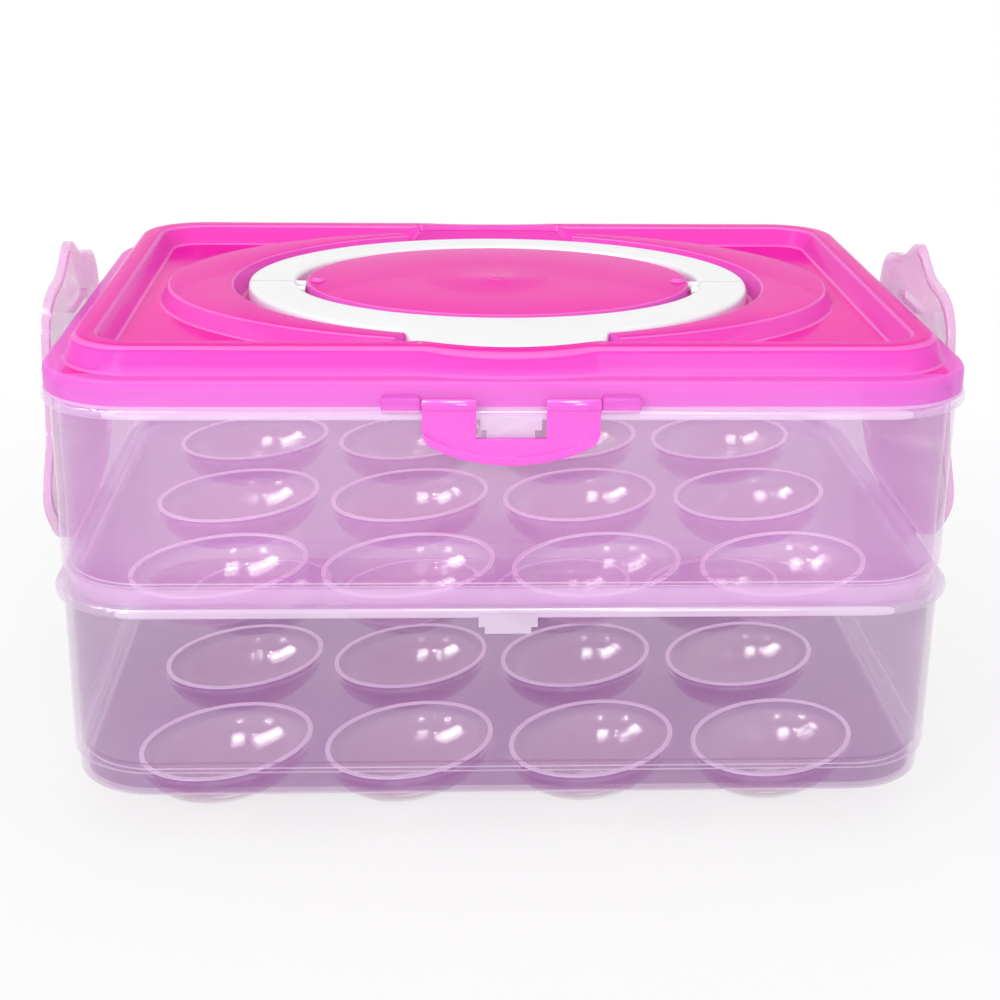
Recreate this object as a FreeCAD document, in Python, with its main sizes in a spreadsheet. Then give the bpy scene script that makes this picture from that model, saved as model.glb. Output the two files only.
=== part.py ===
import FreeCAD, Part
import math
import os
import re
import Sketcher

# Two-tier egg storage box: two identical stacking trays with oval cups, a lid with a sunk folding
# handle, a front and a rear latch on the lid, and two tall side clips hinged on the lower tray.
# The box stands on the cup bottoms. Origin: centre of the foot plane, +Z up, front towards -Y.

SIZES = {
    # Tray shell, outside sizes of the wall
    "tray_width": 247.6,
    "tray_depth": 180.6,
    "tray_corner": 25.0,
    "tray_wall": 2.0,
    "deck_thickness": 1.6,
    "base_inset": 1.3,
    "base_height": 7.6,
    "base_round": 1.2,
    "tier_pitch": 55.9,
    "nest_depth": 2.2,
    "nest_clearance": 0.35,
    "rim_overhang": 2.2,
    "rim_height": 2.8,
    "rim_round": 1.0,
    "step_round": 0.6,
    # Egg cups, lengths at the mouth
    "cup_drop": 14.5,
    "cup_length": 52.4,
    "cup_width": 40.4,
    "cup_wall": 1.4,
    "cup_turn": 44.0,
    "foot_latitude": 72.0,
    "lip_latitude": 3.5,
    "mouth_latitude": 12.0,
    "column_pitch": 54.0,
    "row_pitch": 59.4,
    # Catch under the rim, front and rear
    "catch_width": 16.0,
    "catch_height": 3.8,
    "catch_below_rim": 1.2,
    "catch_reach": 0.5,
    "catch_lip_width": 12.6,
    "catch_lip_height": 2.2,
    "catch_lip_setback": 0.6,
    # Snap hinges: pins moulded on the tray and the lid, barrels on the clip and the latch
    "pin_radius": 1.2,
    "pin_length": 7.5,
    "barrel_radius": 1.75,
    "bore_clearance": 0.06,
    "side_clearance": 0.3,
    # Side clip
    "clip_hinge_drop": 6.4,
    "clip_hinge_reach": 2.5,
    "clip_tongue": 40.0,
    "clip_ear_width": 5.0,
    "clip_height": 87.2,
    "clip_half_length": 55.5,
    "clip_gap": 3.0,
    "clip_plate": 1.6,
    "clip_band": 2.8,
    "clip_flange": 0.7,
    "clip_hook_length": 22.0,
    "clip_hook_height": 2.4,
    "clip_hook_reach": 2.4,
    "clip_hook_gap": 0.3,
    "clip_web": 1.6,
    # Lid shell
    "lid_inset": 0.8,
    "lid_wall": 1.8,
    "lid_round": 2.2,
    "skirt_height": 7.6,
    "lip_depth": 2.0,
    "lip_wall": 1.5,
    "plateau_inset": 5.8,
    "plateau_rise": 7.2,
    "plateau_lean": 2.6,
    "plateau_round": 2.4,
    "border_width": 6.3,
    "panel_depth": 6.2,
    "panel_lean": 3.3,
    "island_margin": 7.7,
    "island_overlap": 0.6,
    "island_lean": 2.4,
    "island_drop": 0.9,
    "island_end": 19.5,
    "island_side": 5.1,
    "well_depth": 6.6,
    "well_margin": 7.5,
    "well_lean": 2.0,
    "disc_gap": 2.2,
    "scoop_length": 60.0,
    "scoop_width": 22.0,
    "bulge_end_margin": 12.0,
    "bulge_margin": 7.5,
    "bulge_lean": 3.0,
    "boss_length": 4.5,
    "boss_setback": 1.5,
    "boss_width": 13.0,
    "lug_width": 20.0,
    "lug_height": 2.6,
    "lug_reach": 1.0,
    # Latch flap and the pads that carry its pins
    "latch_width": 46.4,
    "latch_length": 17.6,
    "latch_plate": 2.0,
    "latch_window": 18.2,
    "latch_bar": 6.9,
    "latch_sweep": 60.0,
    "latch_corner": 5.0,
    "latch_roll": 1.0,
    "latch_roll_height": 2.4,
    "latch_gap": 0.8,
    "latch_hinge_rise": 2.1,
    "pad_width": 10.2,
    "pad_height": 4.2,
    # Folding handle, two half rings
    "ring_side_gap": 1.9,
    "ring_band": 12.2,
    "ring_rear_step": 6.0,
    "ring_rear_band": 13.5,
    "ring_thickness": 4.5,
    "ring_round": 1.2,
    "grip_offset": 3.5,
    "grip_clearance": 2.0,
    "handle_split": 3.4,
    "handle_split_gap": 0.95,
    "stub_radius": 1.5,
    "stub_engage": 2.0,
    "stub_end_gap": 0.6,
    "stub_root": 3.0,
}

# Sizes and levels that follow from the driving ones
DERIVED = {
    "deck_level": "cup_drop",
    "base_level": "cup_drop - deck_thickness",
    "step_level": "base_level + base_height",
    "ledge_level": "base_level + tier_pitch",
    "rim_top": "ledge_level + nest_depth",
    "base_width": "tray_width - 2 * base_inset",
    "base_depth": "tray_depth - 2 * base_inset",
    "base_corner": "tray_corner - base_inset",
    "rim_width": "tray_width + 2 * rim_overhang",
    "rim_depth": "tray_depth + 2 * rim_overhang",
    "rim_corner": "tray_corner + rim_overhang",
    "nest_width": "base_width + 2 * nest_clearance",
    "nest_length": "base_depth + 2 * nest_clearance",
    "nest_corner": "base_corner + nest_clearance",
    "cup_outer_depth": "cup_drop / sin(foot_latitude)",
    "clip_axis_x": "tray_width / 2 + clip_hinge_reach",
    "clip_axis_z": "rim_top - clip_hinge_drop",
    "clip_ear_start": "clip_tongue / 2 + side_clearance",
    "clip_face": "rim_width / 2 + clip_gap",
    "lid_level": "rim_top + tier_pitch",
    "lid_width": "rim_width - 2 * lid_inset",
    "lid_depth": "rim_depth - 2 * lid_inset",
    "lid_corner": "rim_corner - lid_inset",
    "shelf_level": "lid_level + skirt_height",
    "lug_top": "shelf_level - lid_round",
    "plateau_top": "shelf_level + plateau_rise",
    "panel_level": "plateau_top - panel_depth",
    "island_top": "plateau_top - island_drop",
    "panel_inset": "plateau_inset + plateau_lean + border_width + panel_lean",
    "island_length": "lid_width - 2 * (panel_inset + island_margin)",
    "island_width": "lid_depth - 2 * panel_inset + island_overlap",
    "well_level": "island_top - well_depth",
    "well_length": "island_length - 2 * island_end",
    "well_width": "island_width - 2 * island_side",
    "ring_length": "well_length - 2 * well_margin",
    "ring_front_width": "well_width - 2 * ring_side_gap",
    "ring_width": "ring_front_width - 2 * ring_rear_step",
    "ring_hole_length": "ring_length - 2 * ring_band",
    "ring_hole_width": "ring_width - 2 * ring_rear_band",
    "scoop_centre": "ring_front_width / 2 + grip_offset",
    "bulge_length": "scoop_length + 2 * bulge_end_margin",
    "bulge_width": "scoop_width + 2 * bulge_margin",
    "grip_length": "scoop_length - 2 * grip_clearance",
    "grip_width": "scoop_width - 2 * grip_clearance",
    "disc_length": "ring_hole_length - 2 * disc_gap",
    "disc_width": "ring_hole_width - 2 * disc_gap",
    "ring_base": "island_top - ring_thickness",
    "handle_axis_z": "island_top - ring_thickness / 2",
    "front_axis_y": "0 - 2 * handle_split",
    "latch_axis_y": "latch_face + barrel_radius / 2",
    "latch_axis_z": "lid_level + latch_hinge_rise",
    "latch_face": "rim_depth / 2 + latch_gap",
    "latch_top": "latch_axis_z + barrel_radius",
}

# Cups of a tray, across and front to back
COLUMNS, ROWS = 4, 3

# Control points of the side clip's half outline: share of its half length, share of its height above
# the hinge. They run from the crest of the thumb tab over shoulder, waist and lobe to the hinge tongue.
CLIP_POLE_SHARES = [
    (0.0, 1.043), (0.229, 0.912), (0.468, 0.918), (0.727, 0.864), (0.767, 0.687), (0.754, 0.531),
    (0.857, 0.383), (1.052, 0.273), (0.796, 0.120), (0.636, 0.052), (0.427, 0.033), (0.360, 0.033),
]
CLIP_CURVE_DEGREE = 3

# Two points closer than this are taken as one when edges are picked
TOUCH = 1e-3

doc = FreeCAD.newDocument("egg_storage_box")
sheet = doc.addObject("Spreadsheet::Sheet", "sizes")
for row, (alias, size) in enumerate(SIZES.items(), start=1):
    sheet.set(f"A{row}", alias)
    sheet.set(f"B{row}", str(size))
    sheet.setAlias(f"B{row}", alias)
doc.recompute()


def formula(text):
    """The sheet expression for a sum written in named sizes."""
    def swap(match):
        word = match.group(0)
        if word in DERIVED:
            return "(" + formula(DERIVED[word]) + ")"
        return "sizes." + word if word in SIZES else word
    return re.sub(r"[a-z_]+", swap, text)


def measure(text):
    """The present value of a sum written in named sizes."""
    return float(sheet.evalExpression(formula(text)))


def bind(item, **sums):
    """Bind properties to the sheet; x, y and z stand for the placement, turn for its angle."""
    paths = {"x": "Placement.Base.x", "y": "Placement.Base.y", "z": "Placement.Base.z",
             "turn": "Placement.Rotation.Angle"}
    for key, text in sums.items():
        item.setExpression(paths.get(key, key), formula(text))
    return item


def origin_feature(body, role):
    """A plane or an axis of a body's own origin."""
    return next(item for item in body.Origin.OriginFeatures if item.Role == role)


def draw_rounded_rectangle(sketch, width, depth, corner):
    """Fill a sketch with a rounded rectangle about its origin, bound to the sheet."""
    half_x, half_y, radius = measure(width) / 2, measure(depth) / 2, measure(corner)
    in_x, in_y = half_x - radius, half_y - radius
    up = FreeCAD.Vector(0, 0, 1)
    corners = [(in_x, -in_y, -90), (in_x, in_y, 0), (-in_x, in_y, 90), (-in_x, -in_y, 180)]
    sides = [((-in_x, -half_y), (in_x, -half_y)), ((half_x, -in_y), (half_x, in_y)),
             ((in_x, half_y), (-in_x, half_y)), ((-half_x, in_y), (-half_x, -in_y))]
    for (start, end), (x, y, angle) in zip(sides, corners):
        sketch.addGeometry(Part.LineSegment(FreeCAD.Vector(*start, 0), FreeCAD.Vector(*end, 0)), False)
        circle = Part.Circle(FreeCAD.Vector(x, y, 0), up, radius)
        arc = Part.ArcOfCircle(circle, math.radians(angle), math.radians(angle + 90))
        sketch.addGeometry(arc, False)
    edges = len(sides) + len(corners)
    for edge in range(edges):
        sketch.addConstraint(Sketcher.Constraint("Tangent", edge, 2, (edge + 1) % edges, 1))
    for edge in (0, 4):
        sketch.addConstraint(Sketcher.Constraint("Horizontal", edge))
        sketch.addConstraint(Sketcher.Constraint("Vertical", edge + 2))
    for edge in (3, 5, 7):
        sketch.addConstraint(Sketcher.Constraint("Equal", 1, edge))
    sketch.addConstraint(Sketcher.Constraint("Symmetric", 0, 1, 4, 1, -1, 1))
    driving = {"width": Sketcher.Constraint("DistanceX", 6, 1, 2, 1, 2 * half_x),
               "depth": Sketcher.Constraint("DistanceY", 0, 1, 4, 1, 2 * half_y),
               "corner": Sketcher.Constraint("Radius", 1, radius)}
    for (key, constraint), text in zip(driving.items(), (width, depth, corner)):
        sketch.renameConstraint(sketch.addConstraint(constraint), key)
        sketch.setExpression(f"Constraints.{key}", formula(text))


def body_outline(body, name, level, width, depth, corner):
    """A rounded rectangle sketch in a body, at a level above the foot plane."""
    sketch = body.newObject("Sketcher::SketchObject", name)
    sketch.AttachmentSupport = (origin_feature(body, "XY_Plane"), [""])
    sketch.MapMode = "FlatFace"
    sketch.setExpression("AttachmentOffset.Base.z", formula(level))
    draw_rounded_rectangle(sketch, width, depth, corner)
    return sketch


def pad(body, name, sketch, length):
    """Pad a sketch upwards."""
    feature = body.newObject("PartDesign::Pad", name)
    feature.Profile = sketch
    return bind(feature, Length=length)


def pocket(body, name, sketch, length):
    """Cut a sketch downwards, and make sure that it cuts."""
    doc.recompute()
    before = body.Shape.Volume
    feature = body.newObject("PartDesign::Pocket", name)
    feature.Profile = sketch
    bind(feature, Length=length)
    doc.recompute()
    if body.Shape.Volume >= before:
        raise ValueError(f"{name} cuts nothing")
    return feature


def on_outline(edge, level, width, depth, corner):
    """True where an edge lies flat at a level, on a rounded rectangle about the origin."""
    box = edge.BoundBox
    if abs(box.ZMin - level) > TOUCH or abs(box.ZMax - level) > TOUCH:
        return False
    middle = edge.valueAt((edge.FirstParameter + edge.LastParameter) / 2)
    out_x = abs(middle.x) - (width / 2 - corner)
    out_y = abs(middle.y) - (depth / 2 - corner)
    if max(out_x, out_y) <= 0:
        return False
    return abs(math.hypot(max(out_x, 0), max(out_y, 0)) - corner) < TOUCH


def outline_edges(shape, level, width, depth, corner):
    """The numbers of a shape's edges on a rounded rectangle, sizes in named sums."""
    sizes = [measure(text) for text in (level, width, depth, corner)]
    return [index for index, edge in enumerate(shape.Edges, start=1) if on_outline(edge, *sizes)]


def round_edges(body, name, radius, numbers):
    """Fillet numbered edges of a body's present tip."""
    tip = body.Tip
    feature = body.newObject("PartDesign::Fillet", name)
    feature.Base = (tip, [f"Edge{number}" for number in numbers])
    return bind(feature, Radius=radius)


def origin_body(name, base):
    """A body that starts from a finished solid."""
    body = doc.addObject("PartDesign::Body", name)
    body.BaseFeature = base
    doc.recompute()
    return body


def rounded(name, base, radius, numbers):
    """A solid with some of its edges, given by number, filleted to a bound radius."""
    body = origin_body(name, base)
    round_edges(body, f"{name}_fillet", radius, numbers)
    doc.recompute()
    return body


def ellipse(name, length, width, level, y="0", seam=0):
    """A flat ellipse, length along X and width along Y; its seam lies at an angle from +X."""
    curve = doc.addObject("Part::Ellipse", name)
    long_axis, short_axis = length, width
    if measure(width) > measure(length):
        long_axis, short_axis = width, length
        curve.Placement.Rotation = FreeCAD.Rotation(FreeCAD.Vector(0, 0, 1), 90)
        seam = (seam - 90) % 360
    if seam:
        curve.Angle1 = seam
        curve.Angle2 = seam
    return bind(curve, MajorRadius=f"({long_axis}) / 2", MinorRadius=f"({short_axis}) / 2", y=y, z=level)


def outline(name, level, width, depth, corner):
    """A free rounded rectangle sketch at a level."""
    sketch = doc.addObject("Sketcher::SketchObject", name)
    draw_rounded_rectangle(sketch, width, depth, corner)
    return bind(sketch, z=level)


def loft(name, low, high):
    """A solid between two flat outlines."""
    solid = doc.addObject("Part::Loft", name)
    solid.Sections = [low, high]
    solid.Solid = True
    solid.Ruled = True
    return solid


def oval_form(name, low, high, y="0"):
    """A solid between two ellipses, each given as length, width and level."""
    return loft(name, ellipse(f"{name}_low", *low, y), ellipse(f"{name}_high", *high, y))


def box_form(name, low, high):
    """A solid between two rounded rectangles, each given as level, width, depth and corner."""
    return loft(name, outline(f"{name}_low", *low), outline(f"{name}_high", *high))


def extrude(name, profile, direction, length):
    """A solid swept straight from a closed outline."""
    solid = doc.addObject("Part::Extrusion", name)
    solid.Base = profile
    solid.DirMode = "Custom"
    solid.Dir = direction
    solid.Solid = True
    return bind(solid, LengthFwd=length)


def oval_prism(name, length, width, low, high, y="0", seam=0):
    """An upright solid on an ellipse, between two levels; its seam lies at an angle from +X."""
    curve = ellipse(f"{name}_curve", length, width, low, y, seam)
    return extrude(name, curve, FreeCAD.Vector(0, 0, 1), f"{high} - ({low})")


def block(name, length, width, height, x, y, z):
    """A block, from its lowest corner."""
    return bind(doc.addObject("Part::Box", name), Length=length, Width=width, Height=height, x=x, y=y, z=z)


def rod(name, radius, length, along, x, y, z):
    """A rod along +X or +Y."""
    axis, angle = {"X": (FreeCAD.Vector(0, 1, 0), 90), "Y": (FreeCAD.Vector(1, 0, 0), -90)}[along]
    item = doc.addObject("Part::Cylinder", name)
    item.Placement.Rotation = FreeCAD.Rotation(axis, angle)
    return bind(item, Radius=radius, Height=length, x=x, y=y, z=z)


def fuse(name, *shapes):
    """One solid from several."""
    item = doc.addObject("Part::MultiFuse", name)
    item.Shapes = list(shapes)
    item.Refine = True
    return item


def cut(name, base, tool):
    """A solid less another."""
    item = doc.addObject("Part::Cut", name)
    item.Base = base
    item.Tool = tool
    return item


def common(name, base, tool):
    """What two solids share."""
    item = doc.addObject("Part::Common", name)
    item.Base = base
    item.Tool = tool
    return item


def linked(label, source, angle, **sums):
    """A second piece from the same mould, moved or turned round Z."""
    link = doc.addObject("App::Link", label)
    link.LinkedObject = source
    link.Label = label
    link.Placement.Rotation = FreeCAD.Rotation(FreeCAD.Vector(0, 0, 1), angle)
    return bind(link, **sums)


def grown(sizes, by):
    """Width, depth and corner of a rounded rectangle grown by a margin on every side."""
    width, depth, corner = sizes
    return f"{width} + 2 * ({by})", f"{depth} + 2 * ({by})", f"{corner} + ({by})"


def make_tray_shell():
    """The tray's stepped shell with its deck, rolled rim and nesting ledge."""
    body = doc.addObject("PartDesign::Body", "tray_shell")
    base = ("base_width", "base_depth", "base_corner")
    wall = ("tray_width", "tray_depth", "tray_corner")
    rim = ("rim_width", "rim_depth", "rim_corner")
    pad(body, "base_pad", body_outline(body, "base_outline", "base_level", *base), "base_height")
    pad(body, "wall_pad", body_outline(body, "wall_outline", "step_level", *wall), "rim_top - step_level")
    rim_outline = body_outline(body, "rim_outline", "rim_top - rim_height", *rim)
    pad(body, "rim_pad", rim_outline, "rim_height")
    inner = body_outline(body, "inner_outline", "rim_top", *grown(wall, "0 - tray_wall"))
    pocket(body, "inner_pocket", inner, "rim_top - step_level - tray_wall")
    floor = body_outline(body, "floor_outline", "rim_top", *grown(base, "0 - tray_wall"))
    pocket(body, "floor_pocket", floor, "rim_top - deck_level")
    nest = body_outline(body, "nest_outline", "rim_top", "nest_width", "nest_length", "nest_corner")
    pocket(body, "nest_pocket", nest, "nest_depth")
    rim_edges = outline_edges(body.Shape, "rim_top", *rim)
    rim_edges += outline_edges(body.Shape, "rim_top - rim_height", *rim)
    round_edges(body, "rim_fillet", "rim_round", rim_edges)
    doc.recompute()
    round_edges(body, "base_fillet", "base_round", outline_edges(body.Shape, "base_level", *base))
    doc.recompute()
    round_edges(body, "step_fillet", "step_round", outline_edges(body.Shape, "step_level", *wall))
    doc.recompute()
    return body


def cup_forms(prefix, depth, wall, high):
    """One half ellipsoid for every cup of the tray, its long axis turned in plan."""
    cups = []
    for column in range(COLUMNS):
        for row in range(ROWS):
            cup = doc.addObject("Part::Ellipsoid", f"{prefix}_{column + 1}_{row + 1}")
            cup.Placement.Rotation = FreeCAD.Rotation(FreeCAD.Vector(0, 0, 1), 1)
            cups.append(bind(cup, Radius1=depth, Radius2=f"cup_length / 2 + {wall}",
                             Radius3=f"cup_width / 2 + {wall}", Angle2=high, turn="cup_turn",
                             x=f"column_pitch * ({column} - ({COLUMNS} - 1) / 2)",
                             y=f"row_pitch * ({row} - ({ROWS} - 1) / 2)", z="deck_level"))
    return cups


def catches():
    """The stepped catch under the rim, at the front and at the rear."""
    pieces = []
    root = "tray_depth / 2 - tray_wall / 2"
    face = "rim_depth / 2 + catch_reach"
    steps = (("block", "catch_width", face, "catch_height", "rim_top - catch_below_rim - catch_height"),
             ("lip", "catch_lip_width", f"{face} - catch_lip_setback", "catch_lip_height + catch_height / 2",
              "rim_top - catch_below_rim - catch_height - catch_lip_height"))
    for step, width, reach, height, level in steps:
        for end, start in (("front", f"0 - ({reach})"), ("rear", root)):
            pieces.append(block(f"{end}_catch_{step}", width, f"{reach} - ({root})", height,
                                f"0 - {width} / 2", start, level))
    return pieces


def clip_ears():
    """Ears and pins on both side walls that carry the side clips."""
    pieces = []
    web = "clip_hinge_reach + tray_wall / 2"
    sides = (("right", "tray_width / 2 - tray_wall / 2", "clip_axis_x"),
             ("left", "0 - clip_axis_x", "0 - clip_axis_x"))
    ends = (("rear", "clip_ear_start", "clip_ear_start - side_clearance - pin_length"),
            ("front", "0 - clip_ear_start - clip_ear_width", "0 - clip_ear_start - clip_ear_width / 2"))
    for side, web_start, axis in sides:
        for end, ear_start, pin_start in ends:
            name = f"{side}_{end}"
            pieces.append(block(f"{name}_ear_web", web, "clip_ear_width", "2 * barrel_radius", web_start,
                                ear_start, "clip_axis_z - barrel_radius"))
            pieces.append(rod(f"{name}_ear_end", "barrel_radius", "clip_ear_width", "Y", axis, ear_start,
                              "clip_axis_z"))
            pieces.append(rod(f"{name}_ear_pin", "pin_radius",
                              "pin_length + side_clearance + clip_ear_width / 2", "Y", axis, pin_start,
                              "clip_axis_z"))
    return pieces


def make_tray(label):
    """A tray: shell, cups that drop through the deck to flat feet, catches and clip ears."""
    cups = cup_forms("cup", "cup_outer_depth", "cup_wall", "lip_latitude")
    hollows = cup_forms("hollow", "cup_drop - cup_wall", "0", "mouth_latitude")
    solid = fuse("tray_solid", make_tray_shell(), *cups, *catches(), *clip_ears())
    ground = block("ground", "tray_width", "tray_depth", "cup_outer_depth", "0 - tray_width / 2",
                   "0 - tray_depth / 2", "0 - cup_outer_depth")
    tray = cut(label, cut("tray_hollowed", solid, fuse("cup_hollows", *hollows)), ground)
    tray.Label = label
    return tray


def lid_form(prefix, wall, skirt):
    """The lid's form: the outer one for a wall of 0, the inner one drawn in by the lid's wall."""
    crown = grown(("lid_width", "lid_depth", "lid_corner"), f"0 - {wall}")
    foot = grown(crown, "0 - plateau_inset")
    crest = grown(foot, "0 - plateau_lean")
    border = grown(crest, f"2 * {wall} - border_width")
    panel = grown(border, "0 - panel_lean")
    shelf, top = f"shelf_level - {wall}", f"plateau_top - {wall}"
    skirt_block = box_form(f"{prefix}_skirt", ("lid_level", *skirt), (shelf, *skirt))
    plateau = box_form(f"{prefix}_plateau", (f"{shelf} - lid_wall", *foot), (top, *crest))
    if prefix == "outer":
        doc.recompute()
        skirt_block = rounded("skirt_rounded", skirt_block, "lid_round",
                              outline_edges(skirt_block.Shape, shelf, *skirt))
        plateau = rounded("plateau_rounded", plateau, "plateau_round",
                          outline_edges(plateau.Shape, top, *crest))
    ends = (("front", "0 - scoop_centre"), ("rear", "scoop_centre"))
    bulges = [oval_form(f"{prefix}_{end}_bulge",
                        (f"bulge_length - 2 * {wall}", f"bulge_width - 2 * {wall}", f"{shelf} - lid_wall"),
                        (f"bulge_length - 2 * bulge_lean - 2 * {wall}",
                         f"bulge_width - 2 * bulge_lean - 2 * {wall}", f"{top} - plateau_round / 2"), y)
              for end, y in ends]
    shell = fuse(f"{prefix}_shell", skirt_block, plateau, *bulges)
    sunk = box_form(f"{prefix}_panel", (f"panel_level - {wall}", *panel), ("plateau_top", *border))
    island = oval_form(f"{prefix}_island",
                       (f"island_length + 2 * island_lean - 2 * {wall}",
                        f"island_width + island_lean - 2 * {wall}", f"panel_level - {wall} - lid_wall"),
                       (f"island_length - 2 * {wall}", f"island_width - 2 * {wall}", f"island_top - {wall}"))
    raised = fuse(f"{prefix}_raised", cut(f"{prefix}_sunk", shell, sunk), island)
    well = oval_form(f"{prefix}_well",
                     (f"well_length - 2 * well_lean + 2 * {wall}", f"well_width - 2 * well_lean + 2 * {wall}",
                      f"well_level - {wall}"),
                     (f"well_length + 2 * {wall}", f"well_width + 2 * {wall}", "plateau_top"))
    scoops = [oval_form(f"{prefix}_{end}_scoop",
                        (f"scoop_length - 2 * well_lean + 2 * {wall}",
                         f"scoop_width - 2 * well_lean + 2 * {wall}", f"well_level - {wall}"),
                        (f"scoop_length + 2 * {wall}", f"scoop_width + 2 * {wall}", "plateau_top"), y)
              for end, y in ends]
    opened = cut(f"{prefix}_open", raised, well)
    for (end, _), scoop in zip(ends, scoops):
        opened = cut(f"{prefix}_{end}_open", opened, scoop)
    disc = oval_prism(f"{prefix}_disc", f"disc_length - 2 * {wall}", f"disc_width - 2 * {wall}",
                      f"well_level - {wall} - lid_wall", f"island_top - {wall}")
    return fuse(f"{prefix}_form", opened, disc)


def handle_rods(prefix, growth, reach):
    """The stub pins of both handle halves, or the bores for them when grown and deepened."""
    rods = {}
    for half, axis_y in (("front", "front_axis_y"), ("rear", "0")):
        for side, start in (("left", "0 - ring_hole_length / 2 - stub_root"),
                            ("right", f"disc_length / 2 - stub_engage - {reach}")):
            rods[half, side] = rod(f"{half}_{side}_{prefix}", f"stub_radius + {growth}",
                                   f"stub_root + disc_gap + stub_engage + {reach}", "X", start, axis_y,
                                   "handle_axis_z")
    return rods


def pin_bosses():
    """Blocks inside the disc that back the bores of the handle's pins."""
    length = "boss_length - boss_setback"
    return [block(f"{side}_boss", length, "boss_width", "well_depth", start,
                  "0 - handle_split - boss_width / 2", "well_level - lid_wall / 2")
            for side, start in (("left", "boss_setback - disc_length / 2"),
                                ("right", "disc_length / 2 - boss_length"))]


def clip_lugs():
    """Ledges on the skirt's sides, under the hooks of the side clips."""
    return [block(f"{side}_lug", "lug_reach + lid_wall", "lug_width", "lug_height", start,
                  "0 - lug_width / 2", "lug_top - lug_height")
            for side, start in (("left", "0 - lid_width / 2 - lug_reach"),
                                ("right", "lid_width / 2 - lid_wall"))]


def latch_pads():
    """Pads on the skirt, flush with the latches, and the pins that the latches swing on."""
    pieces = []
    inner = "latch_width / 2 + side_clearance"
    root = "lid_depth / 2 - lid_wall"
    face = "latch_face + latch_plate"
    for end, pad_y, pin_y in (("front", f"0 - ({face})", "0 - latch_axis_y"),
                              ("rear", root, "latch_axis_y")):
        for side, pad_x, pin_x in (("left", f"0 - ({inner}) - pad_width", f"0 - ({inner}) - pad_width / 2"),
                                   ("right", inner, f"{inner} - pin_length")):
            pieces.append(block(f"{end}_{side}_pad", "pad_width", f"{face} - ({root})", "pad_height", pad_x,
                                pad_y, "lid_level"))
            pieces.append(rod(f"{end}_{side}_latch_pin", "pin_radius", "pin_length + pad_width / 2", "X",
                              pin_x, pin_y, "latch_axis_z"))
    return pieces


def make_lid(label):
    """The lid: shell, plug lip, pin bosses, clip lugs, latch pads and latch pins."""
    plug = grown(("nest_width", "nest_length", "nest_corner"), "0 - nest_clearance")
    bore = grown(plug, "0 - lip_wall")
    skirt = ("lid_width", "lid_depth", "lid_corner")
    shell = cut("lid_shell", lid_form("outer", "0", skirt), lid_form("inner", "lid_wall", bore))
    low, high = "lid_level - lip_depth", "lid_level + lid_wall"
    lip = cut("plug_lip", box_form("lip_outside", (low, *plug), (high, *plug)),
              box_form("lip_inside", (low, *bore), (high, *bore)))
    solid = fuse("lid_solid", shell, lip, *pin_bosses(), *clip_lugs(), *latch_pads())
    bores = fuse("handle_bores", *handle_rods("bore", "bore_clearance", "stub_end_gap").values())
    lid = cut(label, solid, bores)
    lid.Label = label
    return lid


def make_handle(label, half, pins):
    """One half of the folding handle: a half ring with its two stub pins."""
    front = half == "front"
    width = "ring_front_width" if front else "ring_width"
    base, top = "ring_base", "island_top"
    away = 90 if front else 270
    form = oval_prism(f"{half}_ring", "ring_length", width, base, top, seam=away)
    if front:
        grip = oval_prism("grip", "grip_length", "grip_width", base, top, "0 - scoop_centre")
        form = fuse("front_ring_grip", form, grip)
    hole = oval_prism(f"{half}_hole", "ring_hole_length", "ring_hole_width", base, top, seam=away)
    form = cut(f"{half}_ring_open", form, hole)
    doc.recompute()
    form = rounded(f"{half}_rounded", form, "ring_round", level_edges(form.Shape, top))
    reach = "ring_front_width"
    split = "handle_split + handle_split_gap" if front else "handle_split - handle_split_gap"
    start = f"0 - ({split}) - {reach}" if front else f"0 - ({split})"
    side = block(f"{half}_side", "2 * ring_length", reach, "3 * ring_thickness", "0 - ring_length", start,
                 f"{base} - ring_thickness")
    handle = fuse(label, common(f"{half}_half", form, side), *pins)
    handle.Label = label
    return handle


def level_edges(shape, level):
    """The numbers of a shape's edges that lie flat at a level."""
    height = measure(level)
    return [number for number, edge in enumerate(shape.Edges, start=1)
            if abs(edge.BoundBox.ZMin - height) < TOUCH and abs(edge.BoundBox.ZMax - height) < TOUCH]


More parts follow.
